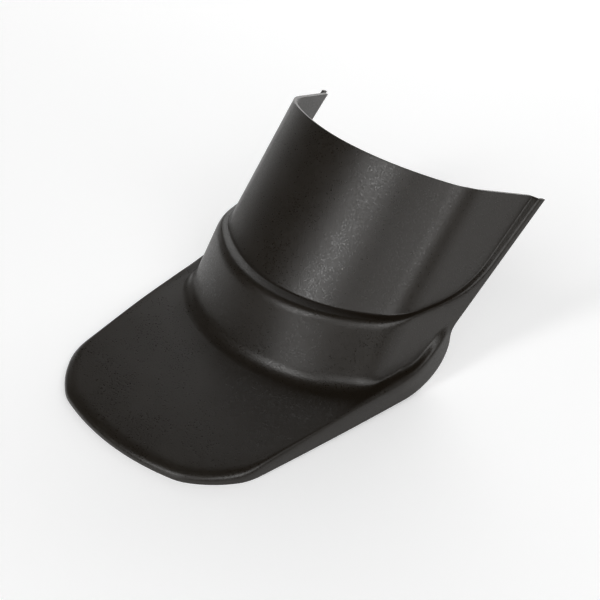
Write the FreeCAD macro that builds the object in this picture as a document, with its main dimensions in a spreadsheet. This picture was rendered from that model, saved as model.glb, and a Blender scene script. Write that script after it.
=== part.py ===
"""Motorbike mudguard extender: one formed ABS shell, modelled in millimetres.

Frame: +X across the part, +Y towards the end that tucks under the mudguard, +Z up.
The origin is on the crown line of the sleeve, where the sleeve meets the ledge.

The shell is the space between two skins. Each skin is a full body of visor, raised band and
sleeve, and the inner one is set in by the sheet's thickness.
"""
import os

import FreeCAD, Part
import Sketcher
from FreeCAD import Placement, Rotation, Vector

# Driving dimensions: name, value, meaning
SIZES = [
    ("sheet_thickness", 2.0, "ABS sheet"),
    ("crown_angle", 48.2, "sleeve's crown line above the floor, degrees"),
    ("crown_half", 61.8, "half width of the sleeve across its creases"),
    ("crown_rise", 18.9, "height of the sleeve's crown above its creases"),
    ("wall_lean", 15.1, "outward lean of the sleeve's side walls, degrees"),
    ("crease_radius", 10.0, "rounding between crown and side walls"),
    ("sleeve_length", 77.6, "ledge to top end along the crown"),
    ("crown_cut_angle", 18.4, "fall of the top end across the crown, degrees"),
    ("wall_cut_angle", 23.3, "fall of the top end along the side walls, degrees"),
    ("ledge_width", 8.0, "width of the ledge on the crown line"),
    ("band_angle", 60.0, "band's crown line above the floor, degrees"),
    ("band_half", 63.9, "half width of the band across its creases"),
    ("band_corner", 21.5, "band's creases behind the origin, at the ledge"),
    ("band_corner_angle", 53.5, "band's creases above the floor, degrees"),
    ("band_flare", 11.0, "outward run of the band's side walls in plan, degrees"),
    ("band_edge_radius", 2.2, "rounding between band and ledge"),
    ("stand_height", 38.1, "ledge above the floor"),
    ("nose_reach", 107.0, "ledge to the middle of the visor's front edge"),
    ("nose_bow", 6.1, "bow of the visor's front edge"),
    ("nose_half", 40.8, "half width of the visor's front edge"),
    ("corner_depth", 23.7, "length of the chamfered corners along the part"),
    ("corner_half", 64.2, "half width of the visor behind the chamfered corners"),
    ("corner_bow", 2.5, "bow of the chamfered corners"),
    ("side_bow", 1.0, "bow of the visor's sides"),
    ("visor_back", 51.0, "ledge to the back of the visor's sides"),
    ("visor_back_half", 77.3, "half width of the visor at its back"),
    ("corner_radius", 13.0, "rounding of the visor's front corners in plan"),
    ("back_radius", 15.0, "rounding of the visor's back corners in plan"),
    ("visor_slope", 3.5, "rise of the visor plate towards the back, degrees"),
    ("nose_height", 4.1, "height of the visor plate at the front corners"),
    ("rim_radius", 3.2, "rounding of the visor's rim"),
    ("root_radius", 4.0, "rounding between visor and band"),
    ("ledge_root_radius", 1.0, "rounding between ledge and sleeve"),
    ("lift_radius", 22.0, "curve of the rim's bottom edge up to its back edge"),
    ("back_edge", 49.6, "ledge to the upright back edge of the rim"),
    ("flange_drop", 16.3, "start of the flange below the ledge"),
    ("flange_angle", 40.0, "rise of the flange's edge, degrees"),
    ("flange_width", 4.0, "height of the flange above its trimmed edge"),
    ("ledge_corner_radius", 55.0, "curve of the ledge up into the flange"),
]

# Construction values of one skin, worked out from the driving dimensions.
# inset and flange_rise differ between the skins, and make_places puts them in front.
PLACES = [
    # reach of the sketches beyond the part
    ("low", "-1.5 * sizes.stand_height"),
    ("end_y", "sizes.sleeve_length * cos(sizes.crown_angle)"),
    ("end_z", "sizes.sleeve_length * sin(sizes.crown_angle)"),
    ("far", "4 * end_y"),
    ("wide", "4 * sizes.visor_back_half"),
    # sleeve section, square to the crown line
    ("crown_turn", "2 * atan(sizes.crown_rise / sizes.crown_half) / 1 deg"),
    ("crease_turn", "(90 - sizes.wall_lean + crown_turn) / 2"),
    ("crease_set", "inset / cos((90 - sizes.wall_lean - crown_turn) / 2)"),
    ("sleeve_x", "sizes.crown_half - crease_set * sin(crease_turn)"),
    ("sleeve_w", "-sizes.crown_rise - crease_set * cos(crease_turn)"),
    ("sleeve_sag", "-inset - sleeve_w"),
    ("sleeve_round", "(sleeve_x^2 + sleeve_sag^2) / (2 * sleeve_sag)"),
    ("sleeve_foot", "-2 * sizes.stand_height"),
    ("sleeve_foot_x", "sleeve_x + (sleeve_w - sleeve_foot) * tan(sizes.wall_lean)"),
    ("sleeve_pad", "sizes.sleeve_length + 2 * sizes.stand_height"),
    ("crease_round", "sizes.crease_radius - inset"),
    # band sections in plan, at the lowest and highest level
    ("band_turn", "2 * atan((sizes.band_corner + sizes.ledge_width) / sizes.band_half) / 1 deg"),
    ("corner_turn", "(90 - sizes.band_flare + band_turn) / 2"),
    ("band_set", "inset / cos((90 - sizes.band_flare - band_turn) / 2)"),
    ("band_x", "sizes.band_half - band_set * sin(corner_turn)"),
    ("band_y", "sizes.band_corner + band_set * cos(corner_turn)"),
    ("band_front", "inset / sin(sizes.band_angle) - sizes.ledge_width"),
    ("low_y", "band_y + low / tan(sizes.band_corner_angle)"),
    ("low_sag", "low_y - band_front - low / tan(sizes.band_angle)"),
    ("low_round", "(band_x^2 + low_sag^2) / (2 * low_sag)"),
    ("low_back_x", "band_x + (far - low_y) * tan(sizes.band_flare)"),
    ("high_y", "band_y + end_z / tan(sizes.band_corner_angle)"),
    ("high_sag", "high_y - band_front - end_z / tan(sizes.band_angle)"),
    ("high_round", "(band_x^2 + high_sag^2) / (2 * high_sag)"),
    ("high_back_x", "band_x + (far - high_y) * tan(sizes.band_flare)"),
    # side view of the ledge: level, then curving up along the flange
    ("ledge_z", "-inset"),
    ("crest_round", "sizes.band_edge_radius - 0.5 * inset"),
    ("ledge_run", "(ledge_z + sizes.flange_drop) / tan(sizes.flange_angle)"),
    ("ledge_bend", "sizes.back_edge + ledge_run - flange_rise / sin(sizes.flange_angle)"),
    ("ledge_round", "sizes.ledge_corner_radius"),
    ("bend_run", "ledge_round * tan(sizes.flange_angle / 2)"),
    ("bend_start_y", "ledge_bend - bend_run"),
    ("bend_end_y", "ledge_bend + bend_run * cos(sizes.flange_angle)"),
    ("bend_end_z", "ledge_z + bend_run * sin(sizes.flange_angle)"),
    ("bend_far_z", "ledge_z + (far - ledge_bend) * tan(sizes.flange_angle)"),
    ("bend_top_z", "2 * bend_far_z"),
    # visor outline in plan
    ("bow_turn", "2 * atan(sizes.nose_bow / sizes.nose_half) / 1 deg"),
    ("chamfer_run", "sizes.corner_half - sizes.nose_half"),
    ("chamfer_turn", "atan(sizes.corner_depth / chamfer_run) / 1 deg"),
    ("nose_line", "sizes.nose_bow - sizes.nose_reach"),
    ("corner_line", "nose_line + sizes.corner_depth"),
    ("side_run", "sizes.visor_back - corner_line"),
    ("side_turn", "90 - atan((sizes.visor_back_half - sizes.corner_half) / side_run) / 1 deg"),
    ("nose_set", "inset / cos((chamfer_turn - bow_turn) / 2)"),
    ("nose_x", "sizes.nose_half - nose_set * sin((chamfer_turn + bow_turn) / 2)"),
    ("nose_y", "nose_line + nose_set * cos((chamfer_turn + bow_turn) / 2)"),
    ("nose_sag", "nose_y + sizes.nose_reach - inset"),
    ("nose_round", "(nose_x^2 + nose_sag^2) / (2 * nose_sag)"),
    ("corner_set", "inset / cos((side_turn - chamfer_turn) / 2)"),
    ("corner_x", "sizes.corner_half - corner_set * sin((side_turn + chamfer_turn) / 2)"),
    ("corner_y", "corner_line + corner_set * cos((side_turn + chamfer_turn) / 2)"),
    ("chamfer_chord", "sqrt((corner_x - nose_x)^2 + (corner_y - nose_y)^2) / 2"),
    ("chamfer_round", "(chamfer_chord^2 + sizes.corner_bow^2) / (2 * sizes.corner_bow)"),
    ("back_x", "sizes.visor_back_half - inset / sin(side_turn)"),
    ("back_y", "sizes.visor_back - inset"),
    ("side_chord", "sqrt((back_x - corner_x)^2 + (back_y - corner_y)^2) / 2"),
    ("side_round", "(side_chord^2 + sizes.side_bow^2) / (2 * sizes.side_bow)"),
    ("corner_round", "sizes.corner_radius - inset"),
    ("back_round", "sizes.back_radius - inset"),
    ("rim_round", "sizes.rim_radius - inset"),
    # side view of the visor plate
    ("plate_z", "sizes.nose_height - sizes.stand_height - inset / cos(sizes.visor_slope)"),
    ("plate_front_z", "plate_z - (far + nose_line) * tan(sizes.visor_slope)"),
    ("plate_back_z", "plate_z + (far - nose_line) * tan(sizes.visor_slope)"),
    # side view of the trimmed edges
    ("floor_z", "-sizes.stand_height"),
    ("lift_y", "sizes.back_edge - sizes.lift_radius"),
    ("lift_z", "sizes.lift_radius - sizes.stand_height"),
    ("lift_round", "sizes.lift_radius"),
    ("back_edge", "sizes.back_edge"),
    ("flange_z", "-sizes.flange_drop"),
    ("flange_far_z", "flange_z + (far - sizes.back_edge) * tan(sizes.flange_angle)"),
    ("cut_front_z", "end_z + (far + end_y) * tan(sizes.crown_cut_angle)"),
    ("cut_length", "sizes.crown_rise / sin(sizes.crown_angle + sizes.crown_cut_angle)"),
    ("cut_bend_y", "end_y + cut_length * cos(sizes.crown_cut_angle)"),
    ("cut_bend_z", "end_z - cut_length * sin(sizes.crown_cut_angle)"),
    ("cut_back_z", "cut_bend_z - (far - cut_bend_y) * tan(sizes.wall_cut_angle)"),
    ("cut_top_z", "2 * cut_front_z"),
]

DOC = FreeCAD.newDocument("mudguard_extender")


def make_sizes():
    sheet = DOC.addObject("Spreadsheet::Sheet", "sizes")
    for row, (name, value, meaning) in enumerate(SIZES, start=1):
        sheet.set(f"A{row}", meaning)
        sheet.set(f"B{row}", str(value))
        sheet.setAlias(f"B{row}", name)


def make_places(name, inset, flange_rise):
    """The construction values of one skin, in a sheet of its own."""
    sheet = DOC.addObject("Spreadsheet::Sheet", name)
    rows = [("inset", inset), ("flange_rise", flange_rise)] + PLACES
    for row, (alias, formula) in enumerate(rows, start=1):
        sheet.set(f"A{row}", "=" + formula)
        sheet.setAlias(f"A{row}", alias)
    DOC.recompute()
    return sheet


def read(places, name):
    """A construction value, or its negative where the name starts with a minus sign."""
    if name.startswith("-"):
        return -float(places.get(name[1:]))
    return float(places.get(name))


def bound(places, name):
    """The expression that ties a constraint to a construction value."""
    if name.startswith("-"):
        return f"-{places.Name}.{name[1:]}"
    return f"{places.Name}.{name}"


def plane(body, role):
    return [f for f in body.Origin.OriginFeatures if f.Role == role][0]


def outline(body, places, name, role, corners, arcs=()):
    """A closed sketch through named corners. arcs maps a corner's number to the named radius
    of the arc that starts there, and to the middle point that says which way it bends."""
    sketch = body.newObject("Sketcher::SketchObject", name)
    sketch.AttachmentSupport = [(plane(body, role), "")]
    sketch.MapMode = "FlatFace"
    points = [Vector(read(places, x), read(places, y), 0) for x, y in corners]
    bends = dict(arcs)
    ends = []
    for i, start in enumerate(points):
        stop = points[(i + 1) % len(points)]
        if i in bends:
            radius, bulge = bends[i]
            curve = bent(start, stop, read(places, radius), bulge)
            forward = curve.StartPoint.isEqual(start, 1e-4)
        else:
            curve = Part.LineSegment(start, stop)
            forward = True
        sketch.addGeometry(curve)
        ends.append((1, 2) if forward else (2, 1))
    for i, (x, y) in enumerate(corners):
        before = i - 1 if i else len(corners) - 1
        sketch.addConstraint(Sketcher.Constraint("Coincident", before, ends[before][1], i, ends[i][0]))
        for kind, value in (("DistanceX", x), ("DistanceY", y)):
            index = sketch.addConstraint(Sketcher.Constraint(kind, i, ends[i][0], read(places, value)))
            sketch.setExpression(f"Constraints[{index}]", bound(places, value))
    for i, (radius, bulge) in bends.items():
        index = sketch.addConstraint(Sketcher.Constraint("Radius", i, read(places, radius)))
        sketch.setExpression(f"Constraints[{index}]", bound(places, radius))
    return sketch


def bent(start, stop, radius, bulge):
    """The shorter arc from start to stop, bulging towards the given side."""
    middle = (start + stop) * 0.5
    chord = stop - start
    side = Vector(-chord.y, chord.x, 0).normalize()
    if side.dot(bulge) < 0:
        side = side * -1
    half = chord.Length / 2
    sag = radius - (radius ** 2 - half ** 2) ** 0.5
    return Part.ArcOfCircle(start, middle + side * sag, stop)


def pad(body, sketch, length, back=False):
    feature = body.newObject("PartDesign::Pad", sketch.Name + "_pad")
    feature.Profile = sketch
    feature.Reversed = back
    feature.setExpression("Length", length)
    DOC.recompute()
    return feature


def cut_across(body, places, sketch):
    """Remove a side-view outline right across the part, and make sure that it cut."""
    before = body.Shape.Volume
    feature = body.newObject("PartDesign::Pocket", sketch.Name + "_cut")
    feature.Profile = sketch
    feature.SideType = "Symmetric"
    feature.setExpression("Length", bound(places, "wide"))
    DOC.recompute()
    if body.Shape.Volume >= before:
        raise RuntimeError(f"{sketch.Name} cut nothing")
    return feature


def round_edges(body, name, wanted, radius):
    """Round the edges of the body so far that a test picks out."""
    base = body.Tip
    names = [f"Edge{i}" for i, edge in enumerate(base.Shape.Edges, start=1) if wanted(edge)]
    if not names:
        raise RuntimeError(f"{name} found no edge")
    feature = body.newObject("PartDesign::Fillet", name)
    feature.Base = (base, names)
    feature.setExpression("Radius", radius)
    DOC.recompute()
    return feature


def is_upright(edge):
    ends = [v.Point for v in edge.Vertexes]
    return len(ends) == 2 and abs(ends[0].x - ends[1].x) + abs(ends[0].y - ends[1].y) < 1e-6


def runs_at(edge, half_width):
    """Whether an edge runs along the part at a half width, rising as it goes back."""
    box = edge.BoundBox
    level = box.XLength < 1e-3 and min(box.YLength, box.ZLength) > 1
    return level and abs(abs(box.XMin) - half_width) < 1e-3


def is_ledge(face, level):
    """Whether a face belongs to the ledge or to the step along the flange."""
    normal = face.normalAt(*face.Surface.parameter(face.CenterOfMass))
    return abs(normal.x) < 1e-6 and normal.z > 0.5 and face.BoundBox.ZMin > level - 1e-3


def is_root(shape, edge, is_flat):
    """Whether something steep stands on a flat face of the wanted kind along an edge."""
    faces = shape.ancestorsOfType(edge, Part.Face)
    middle = edge.valueAt((edge.FirstParameter + edge.LastParameter) / 2)
    steep = [face for face in faces if face.normalAt(*face.Surface.parameter(middle)).z < 0.75]
    return len(steep) == 1 and any(is_flat(face) for face in faces)


def is_flat_between(face, low, high):
    """Whether a face is a plane, level or nearly so, within a range of heights."""
    box = face.BoundBox
    plain = isinstance(face.Surface, Part.Plane) and box.ZMin >= low and box.ZMax <= high
    return plain and face.normalAt(0, 0).z > 0.99


def add_visor(body, places):
    """The flared plate as a block: its outline in plan, cut off along the sloping plate."""
    plan = outline(
        body, places, "visor_plan", "XY_Plane",
        [("nose_x", "nose_y"), ("corner_x", "corner_y"), ("back_x", "back_y"),
         ("-back_x", "back_y"), ("-corner_x", "corner_y"), ("-nose_x", "nose_y")],
        {0: ("chamfer_round", Vector(1, -1, 0)), 1: ("side_round", Vector(1, 0, 0)),
         3: ("side_round", Vector(-1, 0, 0)), 4: ("chamfer_round", Vector(-1, -1, 0)),
         5: ("nose_round", Vector(0, -1, 0))})
    plan.setExpression("AttachmentOffset.Base.z", bound(places, "low"))
    pad(body, plan, f"{places.Name}.end_z - {places.Name}.low")
    above = outline(
        body, places, "above_plate", "YZ_Plane",
        [("-far", "plate_front_z"), ("far", "plate_back_z"), ("far", "far"), ("-far", "far")])
    cut_across(body, places, above)
    back_y = read(places, "back_y")
    round_edges(
        body, "back_corners", lambda edge: is_upright(edge) and edge.BoundBox.YMin > back_y - 1e-3,
        bound(places, "back_round"))
    round_edges(
        body, "front_corners", lambda edge: is_upright(edge) and edge.BoundBox.YMax < 0,
        bound(places, "corner_round"))
    round_edges(
        body, "visor_rim",
        lambda edge: not is_upright(edge) and edge.BoundBox.ZMin > read(places, "low") + 1
        and edge.BoundBox.YMin < back_y - 1e-3, bound(places, "rim_round"))


def band_section(body, places, level, height):
    """The band in plan at one level: crown arc, two side walls and a plain back."""
    section = outline(
        body, places, f"band_{level}", "XY_Plane",
        [("band_x", f"{level}_y"), (f"{level}_back_x", "far"), (f"-{level}_back_x", "far"),
         ("-band_x", f"{level}_y")],
        {3: (f"{level}_round", Vector(0, -1, 0))})
    section.setExpression("AttachmentOffset.Base.z", bound(places, height))
    return section


def add_band(body, places):
    """The raised band and flange: a loft of two levels, cut off along the ledge."""
    low = band_section(body, places, "low", "low")
    high = band_section(body, places, "high", "end_z")
    loft = body.newObject("PartDesign::AdditiveLoft", "band_loft")
    loft.Profile = low
    loft.Sections = [high]
    loft.Ruled = True
    DOC.recompute()
    band_x = read(places, "band_x")
    round_edges(
        body, "band_creases", lambda edge: runs_at(edge, band_x), bound(places, "crease_round"))
    above = outline(
        body, places, "above_ledge", "YZ_Plane",
        [("-far", "ledge_z"), ("bend_start_y", "ledge_z"), ("bend_end_y", "bend_end_z"),
         ("far", "bend_far_z"), ("far", "bend_top_z"), ("-far", "bend_top_z")],
        {1: ("ledge_round", Vector(1, -1, 0))})
    cut_across(body, places, above)
    ledge_z = read(places, "ledge_z")
    crest = [edge for face in body.Tip.Shape.Faces if is_ledge(face, ledge_z) for edge in face.Edges
             if edge.BoundBox.YLength > 1e-3]
    round_edges(
        body, "band_crest", lambda edge: any(edge.isSame(other) for other in crest),
        bound(places, "crest_round"))


def add_sleeve(body, places):
    """The recessed channel, drawn square to the crown line and run out past the top end."""
    section = outline(
        body, places, "sleeve_section", "XZ_Plane",
        [("sleeve_x", "sleeve_w"), ("-sleeve_x", "sleeve_w"), ("-sleeve_foot_x", "sleeve_foot"),
         ("sleeve_foot_x", "sleeve_foot")],
        {0: ("sleeve_round", Vector(0, 1, 0))})
    section.AttachmentOffset = Placement(Vector(), Rotation(Vector(1, 0, 0), 45))
    section.setExpression("AttachmentOffset.Rotation.Angle", "sizes.crown_angle")
    pad(body, section, bound(places, "sleeve_pad"), back=True)
    sleeve_x = read(places, "sleeve_x")
    round_edges(
        body, "sleeve_creases", lambda edge: runs_at(edge, sleeve_x), bound(places, "crease_round"))


def blend(body, places):
    """Round the roots where the band stands on the visor and the sleeve on the ledge."""
    shape = body.Tip.Shape
    floor_z = read(places, "floor_z")
    ledge_z = read(places, "ledge_z")
    round_edges(
        body, "band_root",
        lambda edge: is_root(shape, edge, lambda face: is_flat_between(face, floor_z, ledge_z - 1)),
        "sizes.root_radius")
    blended = body.Tip.Shape
    ledge_level = (ledge_z - 0.1, ledge_z + 0.1)
    round_edges(
        body, "sleeve_root",
        lambda edge: is_root(blended, edge, lambda face: is_flat_between(face, *ledge_level)),
        "sizes.ledge_root_radius")


def trim(body, places):
    """Trim the skin along the floor, the back edge, the flange and the top end."""
    below = outline(
        body, places, "below_trim", "YZ_Plane",
        [("-far", "floor_z"), ("lift_y", "floor_z"), ("back_edge", "lift_z"), ("back_edge", "flange_z"),
         ("far", "flange_far_z"), ("far", "-far"), ("-far", "-far")],
        {1: ("lift_round", Vector(1, -1, 0))})
    cut_across(body, places, below)
    beyond = outline(
        body, places, "beyond_end", "YZ_Plane",
        [("-far", "cut_front_z"), ("cut_bend_y", "cut_bend_z"), ("far", "cut_back_z"),
         ("far", "cut_top_z"), ("-far", "cut_top_z")])
    cut_across(body, places, beyond)


def make_skin(name, places):
    body = DOC.addObject("PartDesign::Body", name)
    add_visor(body, places)
    add_band(body, places)
    add_sleeve(body, places)
    return body


def check_document():
    for thing in DOC.Objects:
        if "Invalid" in thing.State or "Error" in thing.State:
            raise RuntimeError(f"{thing.Name} failed: {thing.State}")


make_sizes()
outer_places = make_places("outer", "0", "sizes.flange_width")
inner_places = make_places(
    "inner", "sizes.sheet_thickness", "sizes.flange_width - 0.7 * sizes.sheet_thickness")
outer_skin = make_skin("outer_skin", outer_places)
blend(outer_skin, outer_places)
trim(outer_skin, outer_places)
inner_skin = make_skin("inner_skin", inner_places)

shell = DOC.addObject("Part::Cut", "shell")
shell.Base = outer_skin
shell.Tool = inner_skin
shell.Label = "mudguard_extender"
DOC.recompute()
check_document()
if shell.Shape.isNull() or not shell.Shape.isValid() or len(shell.Shape.Solids) != 1:
    raise RuntimeError("the shell is not one valid solid")
os.makedirs("parts", exist_ok=True)
shell.Shape.exportStep(f"parts/{shell.Label}.step")
box = shell.Shape.optimalBoundingBox()
print("size", round(box.XLength, 2), round(box.YLength, 2), round(box.ZLength, 2))
print("volume", round(shell.Shape.Volume, 1), "solids", len(shell.Shape.Solids))
print("centre", shell.Shape.Solids[0].CenterOfMass)
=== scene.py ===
"""Looks of a motorbike mudguard extender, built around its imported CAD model.

The part is one sheet of black ABS, formed over a buck and trimmed. Sizes are in metres, in the
frame of the CAD model: +Y runs from the visor to the end that tucks under the mudguard.
"""
import math

import bpy
from bpy.props import FloatProperty, PointerProperty, StringProperty
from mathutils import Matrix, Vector


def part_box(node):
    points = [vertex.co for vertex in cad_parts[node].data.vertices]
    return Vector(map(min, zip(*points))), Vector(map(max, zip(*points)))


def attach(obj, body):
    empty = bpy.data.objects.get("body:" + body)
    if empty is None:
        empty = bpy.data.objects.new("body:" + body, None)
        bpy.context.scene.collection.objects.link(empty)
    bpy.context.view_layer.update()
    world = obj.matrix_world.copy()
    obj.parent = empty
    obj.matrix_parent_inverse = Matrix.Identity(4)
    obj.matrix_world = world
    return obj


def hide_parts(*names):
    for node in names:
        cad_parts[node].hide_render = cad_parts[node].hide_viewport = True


bl_info = {
    "name": "Mudguard extender",
    "version": (1, 0, 0),
    "blender": (4, 5, 0),
    "location": "View3D > Sidebar > Extender",
    "description": "Formed ABS mudguard extender with its studio",
    "category": "Object",
}

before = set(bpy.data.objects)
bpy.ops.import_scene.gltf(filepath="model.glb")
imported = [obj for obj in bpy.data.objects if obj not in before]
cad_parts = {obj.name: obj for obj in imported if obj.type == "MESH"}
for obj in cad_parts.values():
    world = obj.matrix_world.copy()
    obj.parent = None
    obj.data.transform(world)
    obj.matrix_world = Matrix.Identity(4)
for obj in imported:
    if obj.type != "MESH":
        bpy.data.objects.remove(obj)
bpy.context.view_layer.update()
floor_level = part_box("mudguard_extender")[0].z


def linear(hex_colour):
    """An sRGB hex value as linear red, green, blue and alpha."""
    parts = [int(hex_colour[i:i + 2], 16) / 255 for i in (1, 3, 5)]
    return [c / 12.92 if c <= 0.04045 else ((c + 0.055) / 1.055) ** 2.4 for c in parts] + [1.0]


def node(tree, kind, links=(), **settings):
    """Add a node with its settings and its links. A setting named for an input sets that input."""
    made = tree.nodes.new(kind)
    for name, value in settings.items():
        if hasattr(made, name):
            setattr(made, name, value)
        else:
            made.inputs[name.replace("_", " ")].default_value = value
    for socket, source in dict(links).items():
        tree.links.new(source, made.inputs[socket])
    return made


# Stations along each half of the part: over the crown, along the side, round the back corner, up the flange
CROWN, FLANK, SWEEP, FLANGE = 80, 22, 26, 36
# Stations between which the bends tighten towards the gutter's end
FIRM_START, FIRM_END = CROWN + FLANK - 14, CROWN + FLANK + 16
# Rows across the sheet: steps of each bend, and shares of each straight run
BEND = 8
SIXTHS = [i / 6 for i in range(6)]
TENTHS = [i / 10 for i in range(10)]
RUNS = [(0, 0.08, 0.5), SIXTHS, SIXTHS, (0, 0.5), TENTHS + [0.99, 1]]
# Most of the run before a bend, and of the run after it, that the bend may take up
BEND_LIMITS = ((0.80, 0.46), (0.46, 0.22), (0.60, 0.38), (0.22, 0.30))
# Places along the part, measured from the ledge, where its side passes from one stretch to the next
DRAFT_START, DRAFT_END = -0.090, -0.010
SIDE_START = -0.030
RIM_LIFTS = 0.017
ROOT_LIFTS = 0.020
CREST_SIDE, CREST_CORNER, CREST_FLANGE = 0.030, 0.038, 0.048
TILT_START, TILT_END = 0.044, 0.062
# Ledge root behind the crest at the same station, past the side
LEDGE_SET_BACK = 0.002
# Rim and band root on the flange, as shares of its width from the trimmed edge, at its start and its tip
RIM_SHARE = (0.12, 0.10)
ROOT_SHARE = (0.30, 0.22)


def length(name, description, millimetres):
    """A length that a user can change, given in millimetres and held in metres."""
    return FloatProperty(name=name, description=description, default=millimetres / 1000, unit="LENGTH")


def angle(name, description, degrees):
    """An angle that a user can change, given in degrees and held in radians."""
    return FloatProperty(name=name, description=description, default=math.radians(degrees), subtype="ANGLE")


class ShellSizes(bpy.types.PropertyGroup):
    sheet: length("Sheet", "Thickness of the ABS sheet", 2.0)
    crown_angle: angle("Crown angle", "Sleeve's crown line above the floor", 48.2)
    crown_half: length("Crown half width", "Centre of the sleeve to its creases", 61.8)
    crown_rise: length("Crown rise", "Height of the sleeve's crown above its creases", 18.9)
    wall_lean: angle("Wall lean", "Outward lean of the sleeve's side walls", 15.1)
    sleeve_length: length("Sleeve length", "Ledge to top end along the crown", 77.6)
    crown_cut: angle("Crown cut", "Fall of the top end across the crown", 18.4)
    wall_cut: angle("Wall cut", "Fall of the top end along the side walls", 23.3)
    sleeve_crease: length("Sleeve crease", "Reach of the rounding at the sleeve's creases", 9.0)
    ledge_width: length("Ledge width", "Width of the ledge on the crown line", 8.0)
    band_angle: angle("Band angle", "Band's crown line above the floor", 60.0)
    band_half: length("Band half width", "Centre of the band to its creases", 63.9)
    band_corner: length("Band corner", "Band's creases behind the origin, at the ledge", 21.5)
    corner_angle: angle("Corner angle", "Band's creases above the floor", 53.5)
    band_flare: angle("Band flare", "Outward run of the band's side walls in plan", 11.0)
    band_crease: length("Band crease", "Reach of the rounding at the band's creases", 8.0)
    crest_radius: length("Crest radius", "Rounding between band and ledge", 8.5)
    ledge_root: length("Ledge root", "Rounding between ledge and sleeve", 2.2)
    stand_height: length("Stand height", "Ledge above the floor", 38.1)
    nose_reach: length("Nose reach", "Ledge to the middle of the visor's front edge", 107.0)
    nose_bow: length("Nose bow", "Bow of the visor's front edge", 6.1)
    nose_half: length("Nose half width", "Half width of the visor's front edge", 40.8)
    corner_depth: length("Corner depth", "Length of the chamfered corners along the part", 23.7)
    corner_half: length("Corner half width", "Half width of the visor behind its chamfered corners", 64.2)
    corner_bow: length("Corner bow", "Bow of the chamfered corners", 2.5)
    side_bow: length("Side bow", "Bow of the visor's sides", 1.0)
    visor_back: length("Visor back", "Ledge to the back of the visor's sides", 51.0)
    back_half: length("Back half width", "Half width of the visor at its back", 77.3)
    visor_slope: angle("Visor slope", "Rise of the visor plate towards the back", 3.5)
    nose_height: length("Nose height", "Height of the visor plate at the front corners", 4.1)
    rim_radius: length("Rim radius", "Rounding of the visor's rim", 8.5)
    rim_draft: length("Rim draft", "Inward lean of the rim along the visor's sides", 1.0)
    rim_lift: length("Rim lift", "Rise of the visor plate towards the rim, along its sides", 0.9)
    root_radius: length("Root radius", "Rounding between visor and band", 12.0)
    back_edge: length("Back edge", "Ledge to the back edge of the rim", 49.6)
    flange_drop: length("Flange drop", "Start of the flange below the ledge", 16.3)
    flange_angle: angle("Flange angle", "Rise of the flange's edge", 40.0)
    flange_width: length("Flange width", "Height of the flange above its trimmed edge", 4.0)
    flange_tilt: length("Flange tilt", "Fall of the flange across its width", 1.3)
    ledge_curve: length("Ledge curve", "Curve of the ledge up into the flange", 55.0)


def between(start, stop, share):
    return start + (stop - start) * share


def ramp(value, start, stop):
    """How far a value has come from start to stop, held between 0 and 1."""
    return min(max((value - start) / (stop - start), 0), 1)


def spread(path, count):
    """A path as count + 1 points, spaced evenly along it."""
    steps = [(b - a).length for a, b in zip(path, path[1:])]
    points = [path[0]]
    index, passed = 0, 0.0
    for i in range(1, count):
        target = sum(steps) * i / count
        while passed + steps[index] < target:
            passed += steps[index]
            index += 1
        points.append(between(path[index], path[index + 1], (target - passed) / steps[index]))
    return points + [path[-1]]


def bowed(start, stop, rise):
    """An arc in plan that stands off to the right of its chord by the given rise."""
    chord = stop - start
    side = Vector((chord.y, -chord.x, 0)).normalized()
    turn = 4 * math.atan(2 * rise / chord.length)
    points = []
    for i in range(33):
        swing = turn * (i / 32 - 0.5)
        share = 0.5 + math.sin(swing) / (2 * math.sin(turn / 2))
        height = (math.cos(swing) - math.cos(turn / 2)) * chord.length / (2 * math.sin(turn / 2))
        points.append(between(start, stop, share) + side * height)
    return points


def curved(start, leave, arrive, stop):
    """A free curve that leaves towards one point and arrives from another."""
    points = []
    for i in range(33):
        t = i / 32
        first = between(between(start, leave, t), between(leave, arrive, t), t)
        second = between(between(leave, arrive, t), between(arrive, stop, t), t)
        points.append(between(first, second, t))
    return points


def cut_back(path, reach):
    """A path without the given reach at its end."""
    kept = list(path)
    while (kept[-1] - kept[-2]).length < reach:
        reach -= (kept[-1] - kept[-2]).length
        kept.pop()
    kept[-1] = between(kept[-1], kept[-2], reach / (kept[-1] - kept[-2]).length)
    return kept


def joined(before, after, reach):
    """Two paths that meet at a corner, as one path with the corner rounded."""
    corner = after[0]
    first = cut_back(before, reach)
    last = cut_back(after[::-1], reach)[::-1]
    bend = []
    for i in range(1, 8):
        bend.append(between(between(first[-1], corner, i / 8), between(corner, last[0], i / 8), i / 8))
    return first + bend + last


class AbsFinish(bpy.types.PropertyGroup):
    colour: StringProperty(name="Colour", description="Body colour of the sheet", default="#17120b")
    rubbed: StringProperty(name="Rubbed colour", description="Where handling has greyed the skin",
                           default="#1e1810")
    dust: StringProperty(name="Dust colour", description="Specks of dust and swarf", default="#b4afa6")
    trimmed: StringProperty(name="Trimmed colour", description="Sawn and scraped edge", default="#302c26")
    grain: length("Grain", "Width of the formed grain as drawn", 0.8)
    patches: length("Patches", "Width of the patches where the gloss differs", 28)
    dust_spacing: length("Dust spacing", "Distance between specks of dust", 17)
    edge_rounding: length("Edge rounding", "Rounding of the trimmed edge", 0.35)


class Studio(bpy.types.PropertyGroup):
    floor_colour: StringProperty(name="Floor", description="Colour of the floor", default="#f4f4f4")
    floor_glow: FloatProperty(name="Floor glow", description="Light that comes up through the floor",
                              default=0.3, min=0)
    sweep: FloatProperty(name="Sweep", description="Brightness of the sweep behind the floor",
                         default=0.16, min=0)


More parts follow.
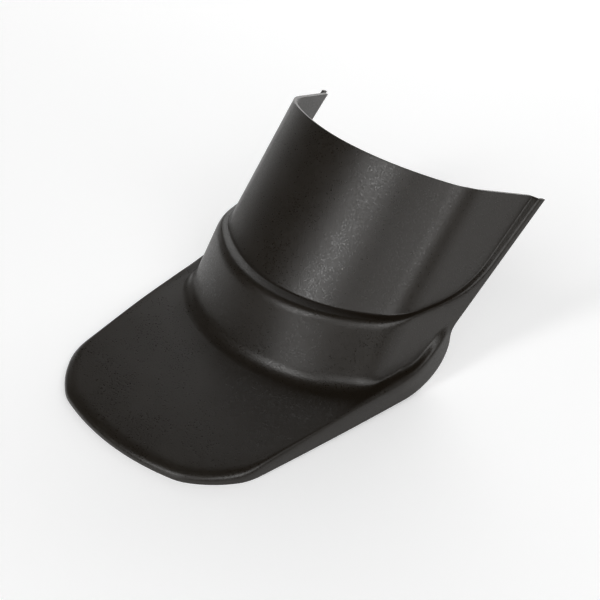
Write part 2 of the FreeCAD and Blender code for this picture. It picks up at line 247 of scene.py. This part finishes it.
def formed_abs(finish):
    """Black ABS sheet, vacuum formed over a grained buck. It is near black with a warm tint, satin, and
    its fine even grain breaks up the highlights."""
    material = bpy.data.materials.new("vacuum-formed black ABS")
    material.use_nodes = True
    tree = material.node_tree
    shader = tree.nodes["Principled BSDF"]
    shader.inputs["IOR"].default_value = 1.53
    place = node(tree, "ShaderNodeTexCoord").outputs["Object"]
    patches = node(tree, "ShaderNodeTexNoise", {"Vector": place}, Scale=1 / finish.patches, Detail=3.0)
    gloss = node(tree, "ShaderNodeMapRange", {"Value": patches.outputs["Fac"]},
                 From_Min=0.3, From_Max=0.7, To_Min=0.08, To_Max=0.14)
    body = node(tree, "ShaderNodeMix", {"Factor": patches.outputs["Fac"]}, data_type="RGBA")
    body.inputs[6].default_value = linear(finish.colour)
    body.inputs[7].default_value = linear(finish.rubbed)
    # a speck of dust wherever the skin passes the middle of a cell
    speck_radius = 0.00025
    cells = node(tree, "ShaderNodeTexVoronoi", {"Vector": place}, Scale=1 / finish.dust_spacing)
    speck = node(tree, "ShaderNodeMath", {0: cells.outputs["Distance"]}, operation="LESS_THAN")
    speck.inputs[1].default_value = speck_radius / finish.dust_spacing
    dusty = node(tree, "ShaderNodeMix", {"Factor": speck.outputs[0], 6: body.outputs[2]}, data_type="RGBA")
    dusty.inputs[7].default_value = linear(finish.dust)
    # the grain of such sheet is about 0.3 mm wide, and is drawn coarser so that it shows
    grain = node(tree, "ShaderNodeTexNoise", {"Vector": place}, Scale=1 / finish.grain, Detail=2.0)
    bump = node(tree, "ShaderNodeBump", {"Height": grain.outputs["Fac"]}, Strength=0.7, Distance=0.00006)
    sheen = node(tree, "ShaderNodeMath", {0: grain.outputs["Fac"], 2: gloss.outputs["Result"]},
                 operation="MULTIPLY_ADD")
    sheen.inputs[1].default_value = 0.5
    tree.links.new(dusty.outputs[2], shader.inputs["Base Color"])
    tree.links.new(sheen.outputs[0], shader.inputs["Roughness"])
    tree.links.new(bump.outputs["Normal"], shader.inputs["Normal"])
    return material


def trimmed_abs(finish):
    """The trimmed edge of the sheet, sawn and scraped: the same ABS, paler and duller."""
    material = bpy.data.materials.new("trimmed ABS edge")
    material.use_nodes = True
    tree = material.node_tree
    shader = tree.nodes["Principled BSDF"]
    shader.inputs["Roughness"].default_value = 0.6
    shader.inputs["IOR"].default_value = 1.53
    place = node(tree, "ShaderNodeTexCoord").outputs["Object"]
    # saw marks are a few tenths of a millimetre apart, and are drawn wider so that they show
    mark_spacing = 0.0008
    marks = node(tree, "ShaderNodeTexNoise", {"Vector": place}, Scale=1 / mark_spacing, Detail=2.0)
    shade = node(tree, "ShaderNodeMix", {"Factor": marks.outputs["Fac"]}, data_type="RGBA")
    shade.inputs[6].default_value = linear(finish.rubbed)
    shade.inputs[7].default_value = linear(finish.trimmed)
    bump = node(tree, "ShaderNodeBump", {"Height": marks.outputs["Fac"]}, Strength=0.5, Distance=0.00005)
    tree.links.new(shade.outputs[2], shader.inputs["Base Color"])
    tree.links.new(bump.outputs["Normal"], shader.inputs["Normal"])
    return material


def feature_lines(sizes):
    """The lines where the faces of the sheet would meet if nothing were rounded, from the centre of
    the part to the tip of its right side: trimmed edge, rim, band root, crest, ledge root, top end."""
    flange_slope = math.tan(sizes.flange_angle)
    floor = -sizes.stand_height
    nose_line = sizes.nose_bow - sizes.nose_reach
    top = Vector((math.cos(sizes.crown_angle), math.sin(sizes.crown_angle))) * sizes.sleeve_length
    bend = sizes.back_edge + sizes.flange_drop / flange_slope
    bend -= sizes.flange_width / math.sin(sizes.flange_angle)
    bend_start = bend - sizes.ledge_curve * math.tan(sizes.flange_angle / 2)

    def plate_z(y):
        return sizes.nose_height + floor + (y - nose_line) * math.tan(sizes.visor_slope)

    def trim_point(p):
        """The outer trimmed edge at a point of the outline. It stands a little off the floor along the
        sides, because the cut is square to the drafted rim."""
        cut_rise = 0.0002 * ramp(p.y, DRAFT_START, DRAFT_END)
        return Vector((p.x, p.y, floor + cut_rise))

    def rim_point(p):
        """The rim over a point of the outline, set in and lifted along the visor's sides."""
        share = ramp(p.y, DRAFT_START, DRAFT_END)
        return Vector((p.x - sizes.rim_draft * share, p.y, plate_z(p.y) + sizes.rim_lift * share))

    def ledge_z(y):
        past = y - bend_start
        if past > sizes.ledge_curve * math.sin(sizes.flange_angle):
            return (y - bend) * flange_slope
        return sizes.ledge_curve - math.sqrt(sizes.ledge_curve ** 2 - max(past, 0) ** 2)

    def flange_edge(y):
        """A point of the flange's outer edge, which falls below the ledge as the flange tilts out."""
        share = ramp(y, TILT_START, TILT_END)
        return band_wall(y, ledge_z(y) - sizes.flange_tilt * share * share * (3 - 2 * share))

    def band_wall(y, z):
        run = y - sizes.band_corner - z / math.tan(sizes.corner_angle)
        return Vector((sizes.band_half + run * math.tan(sizes.band_flare), y, z))

    def sleeve_wall(y, z):
        below = y * math.sin(sizes.crown_angle) - z * math.cos(sizes.crown_angle)
        return Vector((sizes.crown_half + (below - sizes.crown_rise) * math.tan(sizes.wall_lean), y, z))

    def top_end(x, below):
        """A point of the sleeve's section on the top end, which falls less across the crown."""
        across = min(below, sizes.crown_rise) / math.sin(sizes.crown_angle + sizes.crown_cut)
        down = max(below - sizes.crown_rise, 0) / math.sin(sizes.crown_angle + sizes.wall_cut)
        return Vector((x, top.x + across * math.cos(sizes.crown_cut) + down * math.cos(sizes.wall_cut),
                       top.y - across * math.sin(sizes.crown_cut) - down * math.sin(sizes.wall_cut)))

    def half_arc(half, rise):
        """Half of an arc in plan, from its middle to its end."""
        radius = (half ** 2 + rise ** 2) / (2 * rise)
        swings = [2 * math.atan(rise / half) * i / 32 for i in range(33)]
        return [Vector((radius * math.sin(a), radius * (1 - math.cos(a)), 0)) for a in swings]

    def on_top_end(y, rise):
        """Where a line that rises with the flange's edge from y meets the top end of the side wall."""
        corner = top_end(0, sizes.crown_rise)
        fall = math.tan(sizes.wall_cut)
        back = (corner.z - rise + corner.y * fall + y * flange_slope) / (flange_slope + fall)
        return back, rise + (back - y) * flange_slope

    # visor outline in plan
    nose = [p + Vector((0, -sizes.nose_reach, 0)) for p in half_arc(sizes.nose_half, sizes.nose_bow)]
    shoulder = Vector((sizes.corner_half, nose_line + sizes.corner_depth, 0))
    chamfer = bowed(nose[-1], shoulder, sizes.corner_bow)
    side = bowed(shoulder, Vector((sizes.back_half, sizes.visor_back, 0)), sizes.side_bow)
    nose_rounding, side_rounding = 0.003, 0.005
    outline = joined(joined(nose, chamfer, nose_rounding), side, side_rounding)
    front = spread([p for p in outline if p.y < SIDE_START], CROWN)
    flank = spread([front[-1]] + [p for p in outline if SIDE_START < p.y < RIM_LIFTS], FLANK)

    # band and sleeve over the crown, with their creases rounded
    band_arc = [p + Vector((0, -sizes.ledge_width, 0))
                for p in half_arc(sizes.band_half, sizes.band_corner + sizes.ledge_width)]
    crest = spread(joined(band_arc, [band_arc[-1], band_wall(CREST_SIDE, 0)], sizes.band_crease), CROWN)
    section = half_arc(sizes.crown_half, sizes.crown_rise)
    wall_run = 0.010
    foot = section[-1] + Vector((math.tan(sizes.wall_lean), 1, 0)) * wall_run
    section = spread(joined(section, [section[-1], foot], sizes.sleeve_crease), CROWN)
    ledge_root = [Vector((p.x, p.y / math.sin(sizes.crown_angle), 0)) for p in section]
    end = [top_end(p.x, p.y) for p in section]
    root = []
    for p in crest:
        share = min(1, p.x / sizes.band_half) ** 2
        lean = (1 - share) / math.tan(sizes.band_angle) + share / math.tan(sizes.corner_angle)
        level = plate_z(p.y) / (1 - lean * math.tan(sizes.visor_slope))
        root.append(Vector((p.x, p.y + level * lean, level)))
    trim = [trim_point(p) for p in front]
    rim = [rim_point(p) for p in front]

    # along the side, up to where the rim starts to lift
    trim += [trim_point(p) for p in flank[1:]]
    rim += [rim_point(p) for p in flank[1:]]
    root_start = root[-1].y
    ledge_start = ledge_root[-1].y
    for i in range(1, FLANK + 1):
        y = between(root_start, ROOT_LIFTS, i / FLANK)
        root.append(band_wall(y, plate_z(y)))
        crest.append(band_wall(between(CREST_SIDE, CREST_CORNER, i / FLANK), 0))
        y = between(ledge_start, CREST_CORNER + LEDGE_SET_BACK, i / FLANK)
        ledge_root.append(sleeve_wall(y, 0))

    # round the back corner, where the rim sweeps up into the flange
    flange_start = band_wall(sizes.back_edge, -sizes.flange_drop)
    over = flange_edge(CREST_FLANGE)
    rim_end = between(flange_start, over, RIM_SHARE[0])
    root_end = between(flange_start, over, ROOT_SHARE[0])
    trim_tip, trim_top = on_top_end(sizes.back_edge, -sizes.flange_drop)
    lift = curved(trim[-1], trim[-1] + Vector((0.0014, 0.0195, 0)),
                  flange_start + Vector((0.0016, 0.0004, -0.0115)), flange_start)
    flange_reach, foot_reach, top_reach = 0.005, 0.006, 0.003
    lift = joined(lift, [flange_start, band_wall(trim_tip, trim_top)], flange_reach)
    flange_level = flange_start.z + 0.001
    trim += spread([p for p in lift if p.z < flange_level], SWEEP)[1:]
    rim += spread(curved(rim[-1], rim[-1] + Vector((0.0005, 0.0130, 0.0003)),
                         rim_end + Vector((0.0026, -0.0075, -0.0056)), rim_end), SWEEP)[1:]
    scoop_foot = band_wall(0.0285, plate_z(0.0285))
    scoop_top = band_wall(0.0420, -0.0140)
    scoop = joined([root[-1], scoop_foot], [scoop_foot, scoop_top], foot_reach)
    scoop = spread(joined(scoop, [scoop_top, root_end], top_reach), SWEEP)
    root += [band_wall(p.y, p.z) for p in scoop[1:]]
    for i in range(1, SWEEP + 1):
        y = between(CREST_CORNER, CREST_FLANGE, i / SWEEP)
        crest.append(flange_edge(y))
        ledge_root.append(sleeve_wall(y + LEDGE_SET_BACK, ledge_z(y + LEDGE_SET_BACK)))

    # up the flange to the tip
    trim += spread(trim[-1:] + [p for p in lift if p.z >= flange_level], FLANGE)[1:]
    ledge_tip, _ = on_top_end(bend, 0)
    edge_tip, _ = on_top_end(bend, -sizes.flange_tilt)
    for i in range(1, FLANGE + 1):
        crest.append(flange_edge(between(CREST_FLANGE, edge_tip, i / FLANGE)))
        y = between(CREST_FLANGE + LEDGE_SET_BACK, ledge_tip, i / FLANGE)
        ledge_root.append(sleeve_wall(y, ledge_z(y)))
        edge = trim[i - FLANGE - 1]
        rim.append(between(edge, crest[-1], between(*RIM_SHARE, i / FLANGE)))
        root.append(between(edge, crest[-1], between(*ROOT_SHARE, i / FLANGE)))
    tip = between(ledge_root[-1], end[-1], 0.02)
    rest = FLANK + SWEEP + FLANGE
    end += [between(end[CROWN], tip, i / rest) for i in range(1, rest + 1)]
    return [trim, rim, root, crest, ledge_root, end]


def rib_rows(corners, radii):
    """One rib of the sheet as rows of (start, corner, stop, share): a bend of the wanted radius at
    each inner corner, and straight runs between the bends."""
    reaches = [(0.0, 0.0)]
    for k, radius in enumerate(radii, start=1):
        before = corners[k] - corners[k - 1]
        after = corners[k + 1] - corners[k]
        wanted = max(radius * math.tan(before.angle(after) / 2), radius / 4)
        most_before, most_after = BEND_LIMITS[k - 1]
        reaches.append((min(wanted, before.length * most_before), min(wanted, after.length * most_after)))
    reaches.append((0.0, 0.0))
    rows = []
    for k in range(len(corners) - 1):
        heading = (corners[k + 1] - corners[k]).normalized()
        start = corners[k] + heading * reaches[k][1]
        stop = corners[k + 1] - heading * reaches[k + 1][0]
        middle = (start + stop) / 2
        for share in RUNS[k]:
            rows.append((start, middle, stop, share))
        if k + 2 < len(corners):
            leave = (corners[k + 2] - corners[k + 1]).normalized()
            after = corners[k + 1] + leave * reaches[k + 1][1]
            rows += [(stop, corners[k + 1], after, i / BEND) for i in range(BEND)]
    return rows


def rib_mesh(sizes):
    """A flat grid of ribs, from the left tip to the right one. It carries what the bends are made from."""
    right = []
    for station, corners in enumerate(zip(*feature_lines(sizes))):
        firm = ramp(station, FIRM_START, FIRM_END)
        radii = (sizes.rim_radius * between(1, 0.35, firm), sizes.root_radius * between(1, 0.25, firm),
                 sizes.crest_radius, sizes.ledge_root)
        right.append(rib_rows(corners, radii))
    flip = Vector((-1, 1, 1))
    left = [[(a * flip, b * flip, c * flip, share) for a, b, c, share in rows] for rows in right[:0:-1]]
    ribs = left + right
    count = len(ribs[0])
    mesh = bpy.data.meshes.new("formed_shell")
    faces = [(i * count + j, (i + 1) * count + j, (i + 1) * count + j + 1, i * count + j + 1)
             for i in range(len(ribs) - 1) for j in range(count - 1)]
    mesh.from_pydata([(i, j, 0) for i in range(len(ribs)) for j in range(count)], [], faces)
    rows = [row for rib in ribs for row in rib]
    for index, name in enumerate(("start", "corner", "stop")):
        attribute = mesh.attributes.new(name, "FLOAT_VECTOR", "POINT")
        attribute.data.foreach_set("vector", [value for row in rows for value in row[index]])
    share = mesh.attributes.new("share", "FLOAT", "POINT")
    share.data.foreach_set("value", [row[3] for row in rows])
    return mesh


def forming_tree():
    """Bend each rib to its shape, then give the skin the thickness of the sheet, set in from outside."""
    tree = bpy.data.node_groups.new("formed sheet", "GeometryNodeTree")
    tree.interface.new_socket("Ribs", in_out="INPUT", socket_type="NodeSocketGeometry")
    tree.interface.new_socket("Sheet thickness", in_out="INPUT", socket_type="NodeSocketFloat")
    tree.interface.new_socket("Skin", in_out="INPUT", socket_type="NodeSocketMaterial")
    tree.interface.new_socket("Cut edge", in_out="INPUT", socket_type="NodeSocketMaterial")
    tree.interface.new_socket("Sheet", in_out="OUTPUT", socket_type="NodeSocketGeometry")
    given = node(tree, "NodeGroupInput")
    read = {}
    for name in ("start", "corner", "stop", "share"):
        kind = "FLOAT" if name == "share" else "FLOAT_VECTOR"
        read[name] = node(tree, "GeometryNodeInputNamedAttribute", data_type=kind, Name=name).outputs[0]

    def blend(first, second):
        mix = node(tree, "ShaderNodeMix", {0: read["share"], 4: first, 5: second}, data_type="VECTOR")
        return mix.outputs[1]

    place = blend(blend(read["start"], read["corner"]), blend(read["corner"], read["stop"]))
    skin = node(tree, "GeometryNodeSetPosition", {"Geometry": given.outputs["Ribs"], "Position": place})
    inward = node(tree, "ShaderNodeMath", {0: given.outputs["Sheet thickness"]}, operation="MULTIPLY")
    inward.inputs[1].default_value = -1
    inside = node(tree, "GeometryNodeExtrudeMesh",
                  {"Mesh": skin.outputs[0], "Offset Scale": inward.outputs[0]}, Individual=False)
    turned = node(tree, "GeometryNodeFlipFaces", {"Mesh": inside.outputs["Mesh"]})
    faced = node(tree, "GeometryNodeSetMaterial",
                 {"Geometry": turned.outputs[0], "Material": given.outputs["Skin"]})
    edged = node(tree, "GeometryNodeSetMaterial",
                 {"Geometry": faced.outputs[0], "Selection": inside.outputs["Side"],
                  "Material": given.outputs["Cut edge"]})
    outside = node(tree, "GeometryNodeSetMaterial",
                   {"Geometry": skin.outputs[0], "Material": given.outputs["Skin"]})
    both = node(tree, "GeometryNodeJoinGeometry")
    tree.links.new(edged.outputs[0], both.inputs[0])
    tree.links.new(outside.outputs[0], both.inputs[0])
    whole = node(tree, "GeometryNodeMergeByDistance", {"Geometry": both.outputs[0]}, Distance=1e-6)
    smooth = node(tree, "GeometryNodeSetShadeSmooth", {"Geometry": whole.outputs[0]})
    real = node(tree, "GeometryNodeRealizeInstances", {"Geometry": smooth.outputs[0]})
    node(tree, "NodeGroupOutput", {"Sheet": real.outputs[0]})
    return tree


class EXTENDER_OT_shell(bpy.types.Operator):
    """Form the ABS sheet and trim its edge"""
    bl_idname = "extender.shell"
    bl_label = "Formed shell"

    def execute(self, context):
        sizes = context.scene.extender_sizes
        finish = context.scene.extender_finish
        shell = bpy.data.objects.new("formed_shell", rib_mesh(sizes))
        context.scene.collection.objects.link(shell)
        forming = shell.modifiers.new("forming", "NODES")
        forming.node_group = forming_tree()
        values = {"Sheet thickness": sizes.sheet, "Skin": formed_abs(finish),
                  "Cut edge": trimmed_abs(finish)}
        for item in forming.node_group.interface.items_tree:
            if item.name in values:
                forming[item.identifier] = values[item.name]
        dressed = shell.modifiers.new("dressed edge", "BEVEL")
        dressed.width = finish.edge_rounding
        dressed.segments = 2
        dressed.limit_method = "ANGLE"
        dressed.angle_limit = math.radians(50)
        context.view_layer.update()
        formed = bpy.data.meshes.new_from_object(shell.evaluated_get(context.evaluated_depsgraph_get()))
        shell.modifiers.clear()
        shell.data = formed
        formed.name = "formed_shell"
        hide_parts("mudguard_extender")
        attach(shell, "root")
        return {"FINISHED"}


def opal_table(studio):
    """Opal acrylic table, matt and lit from below, a little at the part and more towards the far edge."""
    material = bpy.data.materials.new("opal acrylic table")
    material.use_nodes = True
    tree = material.node_tree
    shader = tree.nodes["Principled BSDF"]
    shader.inputs["Base Color"].default_value = linear(studio.floor_colour)
    shader.inputs["Roughness"].default_value = 0.9
    shader.inputs["Emission Color"].default_value = linear(studio.floor_colour)
    place = node(tree, "ShaderNodeTexCoord").outputs["Object"]
    away = node(tree, "ShaderNodeVectorMath", {0: place}, operation="LENGTH")
    glow = node(tree, "ShaderNodeMapRange", {"Value": away.outputs["Value"]},
                interpolation_type="SMOOTHSTEP", From_Min=0.4, From_Max=1.4,
                To_Min=studio.floor_glow, To_Max=1.1)
    tree.links.new(glow.outputs["Result"], shader.inputs["Emission Strength"])
    return material


def white_sweep(studio):
    """White at the horizon, where the sweep rises behind the floor, and dark overhead."""
    world = bpy.data.worlds.new("white sweep")
    world.use_nodes = True
    tree = world.node_tree
    place = node(tree, "ShaderNodeTexCoord")
    height = node(tree, "ShaderNodeSeparateXYZ", {"Vector": place.outputs["Generated"]})
    fade = node(tree, "ShaderNodeMapRange", {"Value": height.outputs["Z"]}, interpolation_type="SMOOTHSTEP",
                From_Min=0.04, From_Max=0.34, To_Min=studio.sweep, To_Max=0.04)
    tree.links.new(fade.outputs["Result"], tree.nodes["Background"].inputs["Strength"])
    tree.nodes["Background"].inputs["Color"].default_value = (1, 1, 1, 1)
    return world


def softbox(name, towards, width, height, power):
    """A soft area light that faces the part, at an azimuth from the back and an elevation in degrees."""
    distance = 1.6
    azimuth, elevation = (math.radians(degrees) for degrees in towards)
    away = Vector((math.sin(azimuth) * math.cos(elevation),
                   math.cos(azimuth) * math.cos(elevation), math.sin(elevation)))
    lamp = bpy.data.lights.new(name, "AREA")
    lamp.shape = "RECTANGLE"
    lamp.size = width
    lamp.size_y = height
    lamp.energy = power
    light = bpy.data.objects.new(name, lamp)
    light.location = away * distance
    light.rotation_euler = away.to_track_quat("Z", "Y").to_euler()
    light.visible_camera = False
    bpy.context.scene.collection.objects.link(light)


class EXTENDER_OT_studio(bpy.types.Operator):
    """Set the floor, the light and the camera"""
    bl_idname = "extender.studio"
    bl_label = "Studio"

    def execute(self, context):
        studio = context.scene.extender_studio
        bpy.ops.mesh.primitive_plane_add(size=8, location=(0, 0, floor_level))
        floor = context.object
        floor.name = "floor"
        floor.data.materials.append(opal_table(studio))
        context.scene.world = white_sweep(studio)
        context.scene.view_settings.view_transform = "Standard"
        softbox("back panel", (-22, 14), 1.9, 0.8, 24.6)
        softbox("high back panel", (-22, 40), 1.5, 0.6, 2.7)
        softbox("left panel", (-73, 8), 0.55, 0.6, 1.25)
        softbox("front strip", (-163, 42), 0.4, 0.8, 6.4)
        softbox("front right panel", (140, 40), 1.2, 0.8, 4.3)
        softbox("right panel", (105, 38), 1.5, 0.9, 8.0)
        softbox("low front panel", (-178, 13), 0.7, 0.5, 2.7)
        lens = bpy.data.cameras.new("camera")
        lens.lens = 97.2
        lens.sensor_width = 36
        camera = bpy.data.objects.new("camera", lens)
        swing, elevation = 45.592, 36.691
        camera.location = (0.46654, -0.43977, 0.46798)
        camera.rotation_euler = (math.radians(90 - elevation), 0, math.radians(swing))
        context.scene.collection.objects.link(camera)
        context.scene.camera = camera
        return {"FINISHED"}


class EXTENDER_PT_panel(bpy.types.Panel):
    bl_idname = "EXTENDER_PT_panel"
    bl_label = "Mudguard extender"
    bl_space_type = "VIEW_3D"
    bl_region_type = "UI"
    bl_category = "Extender"

    def draw(self, context):
        self.layout.operator("extender.shell")
        self.layout.operator("extender.studio")


CLASSES = (ShellSizes, AbsFinish, Studio, EXTENDER_OT_shell, EXTENDER_OT_studio, EXTENDER_PT_panel)


def register():
    for cls in CLASSES:
        bpy.utils.register_class(cls)
    bpy.types.Scene.extender_sizes = PointerProperty(type=ShellSizes)
    bpy.types.Scene.extender_finish = PointerProperty(type=AbsFinish)
    bpy.types.Scene.extender_studio = PointerProperty(type=Studio)


def unregister():
    del bpy.types.Scene.extender_studio
    del bpy.types.Scene.extender_finish
    del bpy.types.Scene.extender_sizes
    for cls in reversed(CLASSES):
        bpy.utils.unregister_class(cls)


def main():
    register()
    bpy.ops.extender.shell()
    bpy.ops.extender.studio()


if __name__ == "__main__":
    main()
